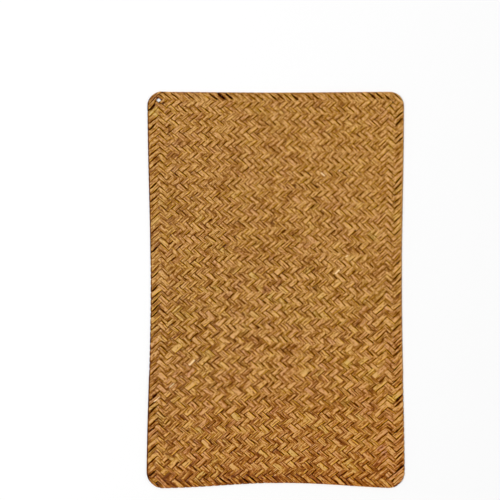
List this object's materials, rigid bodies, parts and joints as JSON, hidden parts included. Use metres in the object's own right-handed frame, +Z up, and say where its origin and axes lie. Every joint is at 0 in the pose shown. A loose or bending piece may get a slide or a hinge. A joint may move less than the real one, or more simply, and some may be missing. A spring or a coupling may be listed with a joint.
{
  "type": "placemat",
  "caption": "Rectangular placemat plaited in a diagonal twill from flat natural straw strips, with rounded corners and edges folded back into the weave.",
  "frame": {"origin": "middle of the flat underside", "axes": "+X along the short way, to the right seen from above; +Y along the long way, to the end with the tighter corners; +Z up, out of the show face"},
  "size_m": [0.2928, 0.45, 0.0022],
  "materials": {
    "straw": "satin natural straw, dried golden brown, with lengthwise grain"
  },
  "bodies": {
    "root": {"mat": "straw"}
  },
  "joints": []
}
